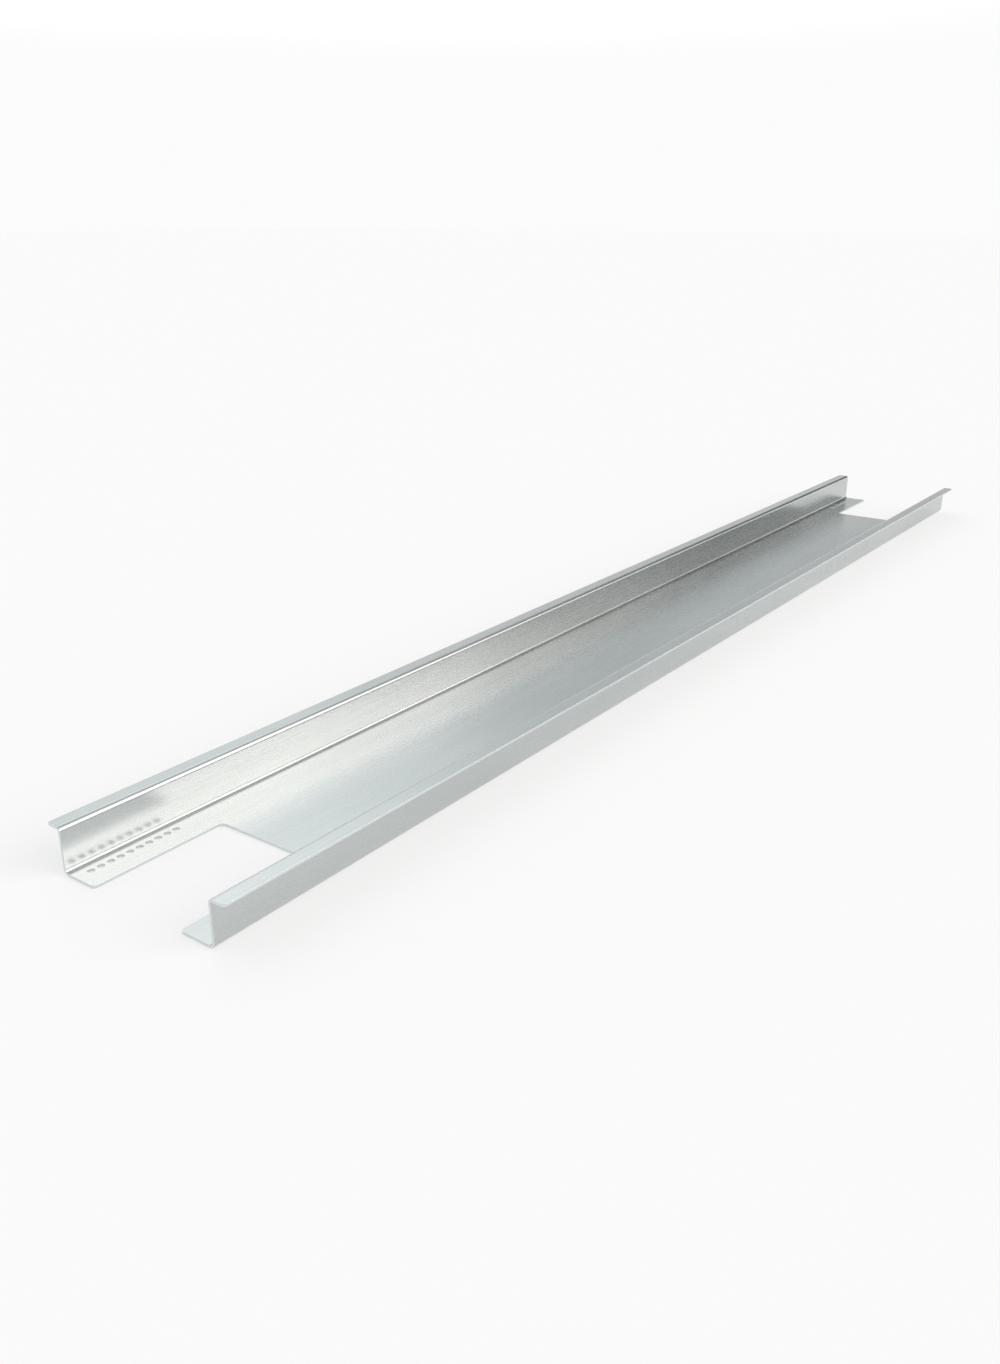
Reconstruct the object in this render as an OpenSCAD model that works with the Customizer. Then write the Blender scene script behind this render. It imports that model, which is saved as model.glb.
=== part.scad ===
// Solar mounting rail: a wide, shallow channel folded from one strip of sheet metal.
// It lies open side up with its length along X, and the origin is the middle of its underside.
// All sizes are in millimetres.

/* [Channel] */
// Length of the rail
rail_length = 1420; // [500:5:3000]
// Width over the outer faces of the two walls
rail_width = 150; // [120:1:250]
// Height from the underside of the base to the top of the lips
rail_height = 36; // [25:0.5:80]
// Thickness of the sheet
sheet = 2; // [1:0.1:3]
// Inside radius of the folds between the base and the walls
base_fold = 3; // [1:0.5:4]

/* [Lips] */
// How far each lip stands out past the outer face of its wall
lip_reach = 12; // [7:0.5:25]
// Inside radius of the folds between the walls and the lips
lip_fold = 1.5; // [0.5:0.5:4]
// Radius of the free corners of the lips
lip_corner = 3; // [0.5:0.5:4]

/* [End notches] */
// Depth of the notch in the base at each end of the rail
notch_depth = 110; // [40:1:200]
// Width of the strip left beside a notch, from the outer face of the wall
strip_width = 32; // [28:0.5:45]
// Radius of the two inner corners of a notch
notch_corner = 5; // [1:0.5:12]
// Radius of the free corner at the end of each strip
strip_corner = 3; // [0.5:0.5:8]

/* [Punched holes] */
// Diameter of the holes punched in a row along each strip
hole_d = 5; // [3:0.1:6]
// Holes in each row
hole_count = 10; // [2:1:20]
// Distance from one hole to the next along the row
hole_pitch = 8; // [7:0.5:20]
// Distance from the end of the rail to the first hole
first_hole = 12; // [7:0.5:30]
// Distance from the outer face of the wall to the row
row_from_wall = 13; // [9:0.5:24]

/* [Hidden] */
$fn = 64;

// How far a cutting shape stands out past the sheet on each side
cut_over = 1;

wall_face = rail_width / 2;
base_fold_outside = base_fold + sheet;
lip_fold_outside = lip_fold + sheet;
full_width = rail_width + 2 * lip_reach;

notch_edge = wall_face - strip_width;
notch_width = 2 * notch_edge;

row_y = wall_face - row_from_wall;

// A quarter of a ring of sheet in the first quadrant, bent round the origin
module quarter_fold(inside) {
    outside = inside + sheet;
    difference() {
        intersection() {
            circle(outside);
            square(outside);
        }
        circle(inside);
    }
}

// Right half of the folded section, from the middle of the base out to the lip's edge
module half_section() {
    square([wall_face - base_fold_outside, sheet]);
    translate([wall_face - base_fold_outside, base_fold_outside])
        rotate(-90)
            quarter_fold(base_fold);
    translate([wall_face - sheet, base_fold_outside])
        square([sheet, rail_height - base_fold_outside - lip_fold_outside]);
    translate([wall_face + lip_fold, rail_height - lip_fold_outside])
        rotate(90)
            quarter_fold(lip_fold);
    translate([wall_face + lip_fold, rail_height - sheet])
        square([lip_reach - lip_fold, sheet]);
}

// The whole section, swept along the length
module folded_channel() {
    rotate([90, 0, 90])
        linear_extrude(rail_length, center = true) {
            half_section();
            mirror([1, 0])
                half_section();
        }
}

// A rectangle about the origin with rounded corners
module rounded_rectangle(size, radius) {
    square([size.x - 2 * radius, size.y], center = true);
    square([size.x, size.y - 2 * radius], center = true);
    for (side_x = [-1, 1], side_y = [-1, 1])
        translate([side_x * (size.x / 2 - radius), side_y * (size.y / 2 - radius)])
            circle(radius);
}

// The blank's outline seen from above, which rounds the lips' free corners
module blank_outline() {
    translate([0, 0, -cut_over])
        linear_extrude(rail_height + 2 * cut_over)
            rounded_rectangle([rail_length, full_width], lip_corner);
}

// What a rounded corner leaves over, round an arc centred on the origin, in the quarter towards +X and -Y
module corner_waste(radius) {
    difference() {
        translate([0, -radius - cut_over])
            square(radius + cut_over);
        circle(radius);
    }
}

// Outline of the cut that opens the base at the end towards +X and rounds the ends of its two strips
module notch_outline() {
    translate([rail_length / 2, 0])
        rounded_rectangle([2 * notch_depth, notch_width], notch_corner);
    for (side = [0, 1])
        mirror([0, side])
            translate([rail_length / 2 - strip_corner, notch_edge + strip_corner])
                corner_waste(strip_corner);
}

// The row of holes on the strip towards +X and +Y
module hole_row() {
    for (place = [0 : hole_count - 1])
        translate([rail_length / 2 - first_hole - place * hole_pitch, row_y, -cut_over])
            cylinder(d = hole_d, h = sheet + 2 * cut_over);
}

// The notch and the holes on both of its strips, at the end towards +X
module end_cuts() {
    translate([0, 0, -cut_over])
        linear_extrude(sheet + 2 * cut_over)
            notch_outline();
    for (side = [0, 1])
        mirror([0, side, 0])
            hole_row();
}

module rail() {
    color([0.76, 0.78, 0.78])
        difference() {
            intersection() {
                folded_channel();
                blank_outline();
            }
            for (end = [0, 1])
                mirror([end, 0, 0])
                    end_cuts();
        }
}

rail();
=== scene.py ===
"""Solar mounting rail: a channel punched and folded from one sheet of bare metal, dressed for rendering."""
import math

import bpy
import numpy as np
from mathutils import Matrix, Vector, geometry


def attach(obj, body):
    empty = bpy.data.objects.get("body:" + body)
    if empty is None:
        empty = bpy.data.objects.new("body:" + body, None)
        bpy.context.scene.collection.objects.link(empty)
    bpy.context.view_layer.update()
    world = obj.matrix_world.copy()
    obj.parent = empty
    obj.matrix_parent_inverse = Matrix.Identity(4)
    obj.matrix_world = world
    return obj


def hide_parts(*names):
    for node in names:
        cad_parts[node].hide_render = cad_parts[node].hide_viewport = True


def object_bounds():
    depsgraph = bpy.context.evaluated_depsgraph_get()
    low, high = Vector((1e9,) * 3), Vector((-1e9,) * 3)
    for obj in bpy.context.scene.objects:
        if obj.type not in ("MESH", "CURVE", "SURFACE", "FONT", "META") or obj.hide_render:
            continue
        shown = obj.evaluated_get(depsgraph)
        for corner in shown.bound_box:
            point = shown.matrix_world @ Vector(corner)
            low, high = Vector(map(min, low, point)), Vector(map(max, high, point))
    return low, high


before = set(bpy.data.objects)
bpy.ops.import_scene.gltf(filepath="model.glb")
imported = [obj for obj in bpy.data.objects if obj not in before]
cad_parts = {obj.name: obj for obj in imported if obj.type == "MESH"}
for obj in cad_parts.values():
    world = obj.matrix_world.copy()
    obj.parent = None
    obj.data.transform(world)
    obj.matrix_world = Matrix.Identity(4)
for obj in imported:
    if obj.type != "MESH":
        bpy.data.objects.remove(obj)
cad_low, cad_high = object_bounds()

# Sizes of the folded sheet, in metres
MM = 0.001
LENGTH = cad_high.x - cad_low.x
HEIGHT = cad_high.z - cad_low.z
SHEET = 2 * MM
BASE_FOLD = 3 * MM
LIP_FOLD = 1.5 * MM
LIP_REACH = 12 * MM
LIP_CORNER = 3 * MM
NOTCH_DEPTH = 110 * MM
STRIP_WIDTH = 32 * MM
NOTCH_CORNER = 5 * MM
STRIP_CORNER = 3 * MM
HOLE_RADIUS = 2.5 * MM
HOLE_COUNT = 10
HOLE_PITCH = 8 * MM
FIRST_HOLE = 12 * MM
ROW_FROM_WALL = 13 * MM
WALL_FACE = cad_high.y - LIP_REACH
NOTCH_EDGE = WALL_FACE - STRIP_WIDTH

# Rounding of the cut edges, and how finely the sheet is meshed
EDGE_ROUND = 0.25 * MM
FOLD_STEPS = 8
CORNER_STEPS = 8
HOLE_STEPS = 32
GRID = 20 * MM
# An edge that goes less than this across the sheet isn't split at the fold lines
SHORT_EDGE = 1 * MM
# A sharp turn of an outline lengthens the step into the metal to 1 / LEAST_MITRE at most
LEAST_MITRE = 0.3
# A step that is small beside every length and share here
TINY = 1e-6
# What the triangulation returns, which is the faces inside the outlines, and its tolerance in millimetres
INSIDE_OUTLINES = 1
TOLERANCE_MM = 1e-3
# Which way a point looks, in quarter turns from the top face over the cut edge to the underside
TOP, EDGE, UNDER = 0, 1, 2
QUARTER_TURN = math.pi / 2

# Distances along the top face of the section, from the middle of the base out to the lip's edge
LIP_FOLD_OUTSIDE = LIP_FOLD + SHEET
BASE_END = WALL_FACE - SHEET - BASE_FOLD
WALL_START = BASE_END + BASE_FOLD * QUARTER_TURN
WALL_END = WALL_START + HEIGHT - LIP_FOLD_OUTSIDE - SHEET - BASE_FOLD
LIP_START = WALL_END + LIP_FOLD_OUTSIDE * QUARTER_TURN
LIP_END = LIP_START + LIP_REACH - LIP_FOLD

# The metal's finish. Each pattern is noise with a stretch, a scale per metre and a detail, and a stretch
# below 1 draws it out along the rail.
GRAIN = (0.012, 900, 3)
BANDS = (0.04, 90, 2)
CLOUDS = (0.35, 16, 4)
SCRATCHES = (0.02, 1500, 1)
WAVES = (0.5, 7, 1)
GRAIN_HEIGHT = 0.0025 * MM
WAVE_HEIGHT = 1.5 * MM
# The span of the noise that is used, and the peaks of it that are scratches
NOISE_SPAN = (0.3, 0.7)
SCRATCH_PEAKS = (0.70, 0.76)
WHOLE_SPAN = (0.0, 1.0)
# The shares of two patterns in the shade, which goes from the dark metal to the light
CLOUD_SHADE = 0.6
BAND_SHADE = 0.4
METAL_DARK = (0.525, 0.556, 0.553, 1)
METAL_LIGHT = (0.582, 0.616, 0.612, 1)
METAL_CUT = (0.7, 0.75, 0.75, 1)
# The least roughness, and the most that each pattern and the cut edges add to it
ROUGH_LEAST = 0.22
ROUGH_GRAIN = 0.05
ROUGH_CLOUD = 0.04
ROUGH_SCRATCH = 0.06
ROUGH_CUT = 0.12

# The studio. The room's brightness by height above the floor, in degrees, and then its soft boxes: the
# colour of each, where it starts, is full, is still full and ends in azimuth from +X, and the same in
# height. They are the key on the front side, a weak fill beside it, two panels behind, and a dark flag past
# the far end, which takes light away.
ROOM_LEVELS = [(0, 0.97), (10.5, 0.97), (14, 0.29), (24, 0.22), (32, 0.3), (42, 0.52), (58, 0.65), (90, 0.8)]
ZENITH = 90
SOFT_BOXES = [
    ((3.6, 3.25, 3.15), (-105, -74, -46, -28), (-2, 24, 24, 62)),
    ((0.5, 0.5, 0.5), (-179, -150, -110, -70), (2, 16, 45, 75)),
    ((0.38, 0.4, 0.41), (2, 34, 110, 170), (6, 14, 40, 75)),
    ((0.8, 0.82, 0.82), (30, 42, 90, 140), (20, 32, 34, 58)),
    ((-0.17, -0.17, -0.17), (-36, -25, -4, 8), (12, 16, 31, 40)),
]
FLOOR_COLOUR = (0.4, 0.4, 0.4, 1)
FLOOR_ROUGH = 0.9
FLOOR_GLOW = 0.58
FLOOR_SIZE = 80
FLOOR_DROP = 0.3 * MM
WHITE = (1, 1, 1, 1)

# The photograph's camera
FRAME_HEIGHT_PX = 1364
FOCAL_PX = 1177.0
SENSOR_MM = 36.0
CLIP_START = 0.01
CAMERA_PLACE = Vector((-1.0942, -0.5679, 0.4100))
CAMERA_YAW = math.radians(53.882)
CAMERA_PITCH = math.radians(21.445)


def section_point(along, depth):
    """Place (y, z) and face normal on the folded section.

    along is the distance along its top face from the middle, and depth is how far below that face the
    point lies.
    """
    side = -1 if along < 0 else 1
    s = abs(along)
    if s <= BASE_END:
        y, z = s, SHEET
        normal_y, normal_z = 0.0, 1.0
    elif s <= WALL_START:
        turn = (s - BASE_END) / BASE_FOLD
        y = BASE_END + BASE_FOLD * math.sin(turn)
        z = SHEET + BASE_FOLD - BASE_FOLD * math.cos(turn)
        normal_y, normal_z = -math.sin(turn), math.cos(turn)
    elif s <= WALL_END:
        y, z = WALL_FACE - SHEET, SHEET + BASE_FOLD + s - WALL_START
        normal_y, normal_z = -1.0, 0.0
    elif s <= LIP_START:
        turn = (s - WALL_END) / LIP_FOLD_OUTSIDE
        y = WALL_FACE + LIP_FOLD - LIP_FOLD_OUTSIDE * math.cos(turn)
        z = HEIGHT - LIP_FOLD_OUTSIDE + LIP_FOLD_OUTSIDE * math.sin(turn)
        normal_y, normal_z = -math.cos(turn), math.sin(turn)
    else:
        y, z = WALL_FACE + LIP_FOLD + s - LIP_START, HEIGHT
        normal_y, normal_z = 0.0, 1.0
    return side * (y - depth * normal_y), z - depth * normal_z, side * normal_y, normal_z


def fold_levels():
    """Distances along the section where the mesh has a line, so that each fold is round."""
    base = [BASE_END + (WALL_START - BASE_END) * i / FOLD_STEPS for i in range(FOLD_STEPS + 1)]
    lip = [WALL_END + (LIP_START - WALL_END) * i / FOLD_STEPS for i in range(FOLD_STEPS + 1)]
    return sorted(side * level for level in base + lip for side in (-1, 1))


def fillet(corner, before, after, radius):
    """Points of the arc that rounds one corner of a flat outline."""
    to_before = (before - corner).normalized()
    to_after = (after - corner).normalized()
    half = to_before.angle(to_after) / 2
    reach = radius / math.tan(half)
    centre = corner + (to_before + to_after).normalized() * (radius / math.sin(half))
    start = corner + to_before * reach - centre
    end = corner + to_after * reach - centre
    sweep = start.angle_signed(end)
    points = []
    for i in range(CORNER_STEPS + 1):
        turn = -sweep * i / CORNER_STEPS
        cos, sin = math.cos(turn), math.sin(turn)
        points.append(centre + Vector((start.x * cos - start.y * sin, start.x * sin + start.y * cos)))
    return points


def blank_outline():
    """The flat blank's outline before folding, anticlockwise, with its end notches."""
    end = LENGTH / 2
    notch_end = end - NOTCH_DEPTH
    one_end = [
        (end, -LIP_END, LIP_CORNER),
        (end, -NOTCH_EDGE, STRIP_CORNER),
        (notch_end, -NOTCH_EDGE, NOTCH_CORNER),
        (notch_end, NOTCH_EDGE, NOTCH_CORNER),
        (end, NOTCH_EDGE, STRIP_CORNER),
        (end, LIP_END, LIP_CORNER),
    ]
    corners = one_end + [(-x, -s, radius) for x, s, radius in one_end]
    places = [Vector((x, s)) for x, s, _ in corners]
    rounded = []
    for i, (_, _, radius) in enumerate(corners):
        rounded += fillet(places[i], places[i - 1], places[(i + 1) % len(places)], radius)
    return split_long_edges(rounded)


def split_long_edges(loop):
    """The loop with points added at the fold lines and along its long edges."""
    levels = fold_levels()
    out = []
    for i, start in enumerate(loop):
        end = loop[(i + 1) % len(loop)]
        span = end - start
        shares = {0.0}
        if abs(span.y) > SHORT_EDGE:
            shares |= {(level - start.y) / span.y for level in levels}
        if abs(span.x) > GRID:
            steps = math.ceil(abs(span.x) / GRID)
            shares |= {k / steps for k in range(steps)}
        out += [start + span * share for share in sorted(shares) if 0.0 <= share < 1.0 - TINY]
    return out


def hole_centres():
    """Centres of the punched holes on the flat blank, one row on each of the four strips."""
    row = WALL_FACE - ROW_FROM_WALL
    centres = []
    for k in range(HOLE_COUNT):
        from_middle = LENGTH / 2 - FIRST_HOLE - k * HOLE_PITCH
        centres += [Vector((x * from_middle, s * row)) for x in (-1, 1) for s in (-1, 1)]
    return centres


def hole_loop(centre):
    """A hole's rim, clockwise, so that the metal lies on its left as it does on the outline."""
    turns = [-2 * math.pi * i / HOLE_STEPS for i in range(HOLE_STEPS)]
    return [centre + Vector((math.cos(t), math.sin(t))) * HOLE_RADIUS for t in turns]


def inward_normals(loop):
    """For each point of a loop, the step that moves it a unit into the metal."""
    steps = []
    for i, point in enumerate(loop):
        along_in = (point - loop[i - 1]).normalized()
        along_out = (loop[(i + 1) % len(loop)] - point).normalized()
        normal_in = Vector((-along_in.y, along_in.x))
        normal_out = Vector((-along_out.y, along_out.x))
        middle = (normal_in + normal_out).normalized()
        steps.append(middle / max(LEAST_MITRE, middle.dot(normal_in)))
    return steps


def nearest(loop, place):
    """Index of the loop's point that lies nearest to a place."""
    return min(range(len(loop)), key=lambda i: (loop[i] - place).length_squared)


def flat_net(loops):
    """Points and edges to triangulate: the loops, the fold lines from end to end, and a grid on the base."""
    points, edges = [], []
    for loop in loops:
        first = len(points)
        points += loop
        edges += [(first + i, first + (i + 1) % len(loop)) for i in range(len(loop))]
    columns = int(LENGTH / GRID)
    inside_x = [LENGTH * (k / columns - 0.5) for k in range(1, columns)]
    for level in fold_levels():
        left, right = [Vector((side * (LENGTH / 2 - EDGE_ROUND), level)) for side in (-1, 1)]
        first = len(points)
        points += [Vector((x, level)) for x in inside_x]
        line = [nearest(loops[0], left)] + list(range(first, len(points))) + [nearest(loops[0], right)]
        edges += zip(line, line[1:])
    rows = int(BASE_END / GRID)
    for x in inside_x:
        if abs(x) < LENGTH / 2 - NOTCH_DEPTH - GRID:
            points += [Vector((x, BASE_END * k / rows)) for k in range(1 - rows, rows)]
    return points, edges


def sheet_faces(loops):
    """Triangles of the flat face inside the loops: points, triangles and where each loop's points went."""
    points, edges = flat_net(loops)
    in_mm = [p / MM for p in points]
    found = geometry.delaunay_2d_cdt(in_mm, edges, [], INSIDE_OUTLINES, TOLERANCE_MM)
    placed, _, faces, sources, _, _ = found
    flat = np.array([tuple(p) for p in placed]) * MM
    triangles = np.array([list(face) for face in faces])

    # The holes are filled with triangles too, and these are left out
    middles = flat[triangles].mean(axis=1)
    for centre in hole_centres():
        apart = np.hypot(middles[:, 0] - centre.x, middles[:, 1] - centre.y)
        keep = apart > HOLE_RADIUS + EDGE_ROUND
        triangles, middles = triangles[keep], middles[keep]

    place_of = {}
    for new, olds in enumerate(sources):
        for old in olds:
            place_of[old] = new
    return flat, triangles, place_of


def rail_mesh():
    """The folded sheet with both faces, rounded cut edges and punched holes."""
    loops = [blank_outline()] + [hole_loop(c) for c in hole_centres()]
    normals = [inward_normals(loop) for loop in loops]
    inset = [[p + n * EDGE_ROUND for p, n in zip(loop, steps)] for loop, steps in zip(loops, normals)]
    flat, triangles, place_of = sheet_faces(inset)
    used = sorted({int(v) for v in triangles.ravel()})
    verts, vert_normals, cut, faces = [], [], [], []

    def add(x, along, depth, lean, out_x, out_s):
        """Adds a point that looks lean quarter turns away from the top face, and gives its index."""
        y, z, normal_y, normal_z = section_point(along, depth)
        step = TINY if along >= 0 else -TINY
        side_y, side_z, _, _ = section_point(along + step, depth)
        along_y = (side_y - y) / step
        along_z = (side_z - z) / step
        face = Vector((0, normal_y, normal_z)) * math.cos(lean * QUARTER_TURN)
        edge = Vector((out_x, along_y * out_s, along_z * out_s)) * math.sin(lean * QUARTER_TURN)
        verts.append((x, y, z))
        vert_normals.append((face + edge).normalized())
        cut.append(1.0 if TOP < lean < UNDER else 0.0)
        return len(verts) - 1

    top = {v: add(flat[v][0], flat[v][1], 0.0, TOP, 0, 0) for v in used}
    under = {v: add(flat[v][0], flat[v][1], SHEET, UNDER, 0, 0) for v in used}
    for a, b, c in triangles:
        faces.append((top[a], top[b], top[c]))
        faces.append((under[c], under[b], under[a]))

    # The rounded edge, from the top face to the underside: distance into the metal, depth and lean
    halfway = EDGE_ROUND * (1 - math.sin(QUARTER_TURN / 2))
    profile = [
        (halfway, halfway, (TOP + EDGE) / 2),
        (0.0, EDGE_ROUND, EDGE),
        (0.0, SHEET - EDGE_ROUND, EDGE),
        (halfway, SHEET - halfway, (EDGE + UNDER) / 2),
    ]
    first = 0
    for loop, steps in zip(loops, normals):
        rings = [[top[place_of[first + i]] for i in range(len(loop))]]
        for inward, depth, lean in profile:
            ring = []
            for point, step in zip(loop, steps):
                moved = point + step * inward
                outward = -step.normalized()
                ring.append(add(moved.x, moved.y, depth, lean, outward.x, outward.y))
            rings.append(ring)
        rings.append([under[place_of[first + i]] for i in range(len(loop))])
        for upper, lower in zip(rings, rings[1:]):
            for i in range(len(loop)):
                j = (i + 1) % len(loop)
                faces.append((upper[i], lower[i], lower[j], upper[j]))
        first += len(loop)

    mesh = bpy.data.meshes.new("rail_sheet")
    mesh.from_pydata(verts, [], faces)
    mesh.update()
    mesh.shade_smooth()
    mesh.normals_split_custom_set_from_vertices(vert_normals)
    mask = mesh.attributes.new("cut_edge", "FLOAT", "POINT")
    mask.data.foreach_set("value", cut)
    return mesh


def mill_finish():
    """Bare rolled metal: satin, with fine rolling lines along it, faint clouding and paler sheared edges."""
    material = bpy.data.materials.new("mill_finish")
    material.use_nodes = True
    nodes, links = material.node_tree.nodes, material.node_tree.links
    shader = nodes["Principled BSDF"]
    shader.inputs["Metallic"].default_value = 1.0
    coords = nodes.new("ShaderNodeTexCoord")

    def noise(stretch, scale, detail):
        """Noise in the rail's own frame, drawn out along its length."""
        place = nodes.new("ShaderNodeMapping")
        place.inputs["Scale"].default_value = (stretch, 1.0, 1.0)
        links.new(coords.outputs["Object"], place.inputs["Vector"])
        texture = nodes.new("ShaderNodeTexNoise")
        texture.inputs["Scale"].default_value = scale
        texture.inputs["Detail"].default_value = detail
        links.new(place.outputs["Vector"], texture.inputs["Vector"])
        return texture.outputs["Fac"]

    def spread(value, span, to_low, to_high):
        """A span of the value, laid over another range and held inside it."""
        node = nodes.new("ShaderNodeMapRange")
        node.inputs["From Min"].default_value = span[0]
        node.inputs["From Max"].default_value = span[1]
        node.inputs["To Min"].default_value = to_low
        node.inputs["To Max"].default_value = to_high
        links.new(value, node.inputs["Value"])
        return node.outputs["Result"]

    def add(first, second):
        """The sum of two values."""
        node = nodes.new("ShaderNodeMath")
        links.new(first, node.inputs[0])
        links.new(second, node.inputs[1])
        return node.outputs[0]

    def mix_colour(share, first, second):
        """A share of the second colour in the first. Each is a fixed colour or another node's."""
        node = nodes.new("ShaderNodeMix")
        node.data_type = "RGBA"
        links.new(share, node.inputs["Factor"])
        for socket, colour in ((node.inputs["A"], first), (node.inputs["B"], second)):
            if isinstance(colour, tuple):
                socket.default_value = colour
            else:
                links.new(colour, socket)
        return node.outputs["Result"]

    grain = noise(*GRAIN)
    bands = noise(*BANDS)
    clouds = noise(*CLOUDS)
    scratches = spread(noise(*SCRATCHES), SCRATCH_PEAKS, 0.0, 1.0)
    cut = nodes.new("ShaderNodeAttribute")
    cut.attribute_name = "cut_edge"

    shade = add(spread(clouds, NOISE_SPAN, 0.0, CLOUD_SHADE), spread(bands, NOISE_SPAN, 0.0, BAND_SHADE))
    metal = mix_colour(shade, METAL_DARK, METAL_LIGHT)
    links.new(mix_colour(cut.outputs["Fac"], metal, METAL_CUT), shader.inputs["Base Color"])

    rolled = spread(grain, NOISE_SPAN, ROUGH_LEAST, ROUGH_LEAST + ROUGH_GRAIN)
    satin = add(rolled, spread(clouds, NOISE_SPAN, 0.0, ROUGH_CLOUD))
    worn = add(satin, spread(scratches, WHOLE_SPAN, 0.0, ROUGH_SCRATCH))
    sheared = add(worn, spread(cut.outputs["Fac"], WHOLE_SPAN, 0.0, ROUGH_CUT))
    links.new(sheared, shader.inputs["Roughness"])

    waves = nodes.new("ShaderNodeBump")
    waves.inputs["Distance"].default_value = WAVE_HEIGHT
    links.new(noise(*WAVES), waves.inputs["Height"])
    lines = nodes.new("ShaderNodeBump")
    lines.inputs["Distance"].default_value = GRAIN_HEIGHT
    links.new(add(grain, scratches), lines.inputs["Height"])
    links.new(waves.outputs["Normal"], lines.inputs["Normal"])
    links.new(lines.outputs["Normal"], shader.inputs["Normal"])
    return material


def make_rail():
    """The dressed rail, which stands in for the solid."""
    rail = bpy.data.objects.new("rail_sheet", rail_mesh())
    bpy.context.scene.collection.objects.link(rail)
    rail.data.materials.append(mill_finish())
    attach(rail, "root")
    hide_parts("rail")


def make_floor():
    """A floor that takes the rail's shadow and glows white to the camera and in reflections."""
    bpy.ops.mesh.primitive_plane_add(size=FLOOR_SIZE, location=(0, 0, -FLOOR_DROP))
    floor = bpy.context.object
    floor.name = "floor"
    material = bpy.data.materials.new("floor_white")
    material.use_nodes = True
    nodes, links = material.node_tree.nodes, material.node_tree.links
    shader = nodes["Principled BSDF"]
    shader.inputs["Base Color"].default_value = FLOOR_COLOUR
    shader.inputs["Roughness"].default_value = FLOOR_ROUGH
    shader.inputs["Specular IOR Level"].default_value = 0.0
    shader.inputs["Emission Color"].default_value = WHITE
    rays = nodes.new("ShaderNodeLightPath")
    seen = rays.outputs["Is Camera Ray"]
    for kind in ("Is Glossy Ray", "Is Transmission Ray"):
        either = nodes.new("ShaderNodeMath")
        either.operation = "MAXIMUM"
        links.new(seen, either.inputs[0])
        links.new(rays.outputs[kind], either.inputs[1])
        seen = either.outputs[0]
    glow = nodes.new("ShaderNodeMath")
    glow.operation = "MULTIPLY"
    glow.inputs[1].default_value = FLOOR_GLOW
    links.new(seen, glow.inputs[0])
    links.new(glow.outputs[0], shader.inputs["Emission Strength"])
    floor.data.materials.append(material)


def make_world():
    """A plain studio: an even room, bright near the floor, with the soft boxes listed above."""
    world = bpy.data.worlds.new("studio")
    bpy.context.scene.world = world
    world.use_nodes = True
    nodes, links = world.node_tree.nodes, world.node_tree.links
    coords = nodes.new("ShaderNodeTexCoord")
    split = nodes.new("ShaderNodeSeparateXYZ")
    links.new(coords.outputs["Generated"], split.inputs[0])

    def math_node(operation, first, second=None):
        """The result of an operation on one or two values. Each is a number or another node's."""
        node = nodes.new("ShaderNodeMath")
        node.operation = operation
        for socket, value in zip(node.inputs, (first, second)):
            if isinstance(value, float):
                socket.default_value = value
            elif value is not None:
                links.new(value, socket)
        return node.outputs[0]

    def rise(angle, start, full):
        """From 0 at one angle to 1 at another, in degrees, with soft ends."""
        node = nodes.new("ShaderNodeMapRange")
        node.interpolation_type = "SMOOTHSTEP"
        low, high = min(start, full), max(start, full)
        node.inputs["From Min"].default_value = math.radians(low)
        node.inputs["From Max"].default_value = math.radians(high)
        node.inputs["To Min"].default_value = 0.0 if start < full else 1.0
        node.inputs["To Max"].default_value = 1.0 if start < full else 0.0
        links.new(angle, node.inputs["Value"])
        return node.outputs["Result"]

    azimuth = math_node("ARCTAN2", split.outputs["Y"], split.outputs["X"])
    height = math_node("ARCSINE", split.outputs["Z"])

    ramp = nodes.new("ShaderNodeValToRGB")
    links.new(math_node("DIVIDE", height, QUARTER_TURN), ramp.inputs[0])
    elements = ramp.color_ramp.elements
    while len(elements) < len(ROOM_LEVELS):
        elements.new(0.5)
    for element, (degrees, level) in zip(elements, ROOM_LEVELS):
        element.position = degrees / ZENITH
        element.color = (level, level, level, 1)

    total = ramp.outputs["Color"]
    for colour, sides, ends in SOFT_BOXES:
        left, left_full, right_full, right = sides
        bottom, bottom_full, top_full, top = ends
        across = math_node("MULTIPLY", rise(azimuth, left, left_full), rise(azimuth, right, right_full))
        upright = math_node("MULTIPLY", rise(height, bottom, bottom_full), rise(height, top, top_full))
        lit = nodes.new("ShaderNodeVectorMath")
        lit.operation = "SCALE"
        lit.inputs[0].default_value = colour
        links.new(math_node("MULTIPLY", across, upright), lit.inputs["Scale"])
        added = nodes.new("ShaderNodeVectorMath")
        links.new(total, added.inputs[0])
        links.new(lit.outputs[0], added.inputs[1])
        total = added.outputs[0]
    links.new(total, nodes["Background"].inputs["Color"])


def make_camera():
    """The camera at the photograph's place, with no shift."""
    data = bpy.data.cameras.new("camera")
    data.sensor_width = SENSOR_MM
    data.lens = FOCAL_PX / FRAME_HEIGHT_PX * SENSOR_MM
    data.clip_start = CLIP_START
    camera = bpy.data.objects.new("camera", data)
    bpy.context.scene.collection.objects.link(camera)
    camera.location = CAMERA_PLACE
    forward = Vector((
        math.sin(CAMERA_YAW) * math.cos(CAMERA_PITCH),
        math.cos(CAMERA_YAW) * math.cos(CAMERA_PITCH),
        -math.sin(CAMERA_PITCH),
    ))
    camera.rotation_euler = forward.to_track_quat("-Z", "Y").to_euler()
    bpy.context.scene.camera = camera


bpy.context.scene.view_settings.view_transform = "Standard"
make_camera()
make_floor()
make_world()
make_rail()
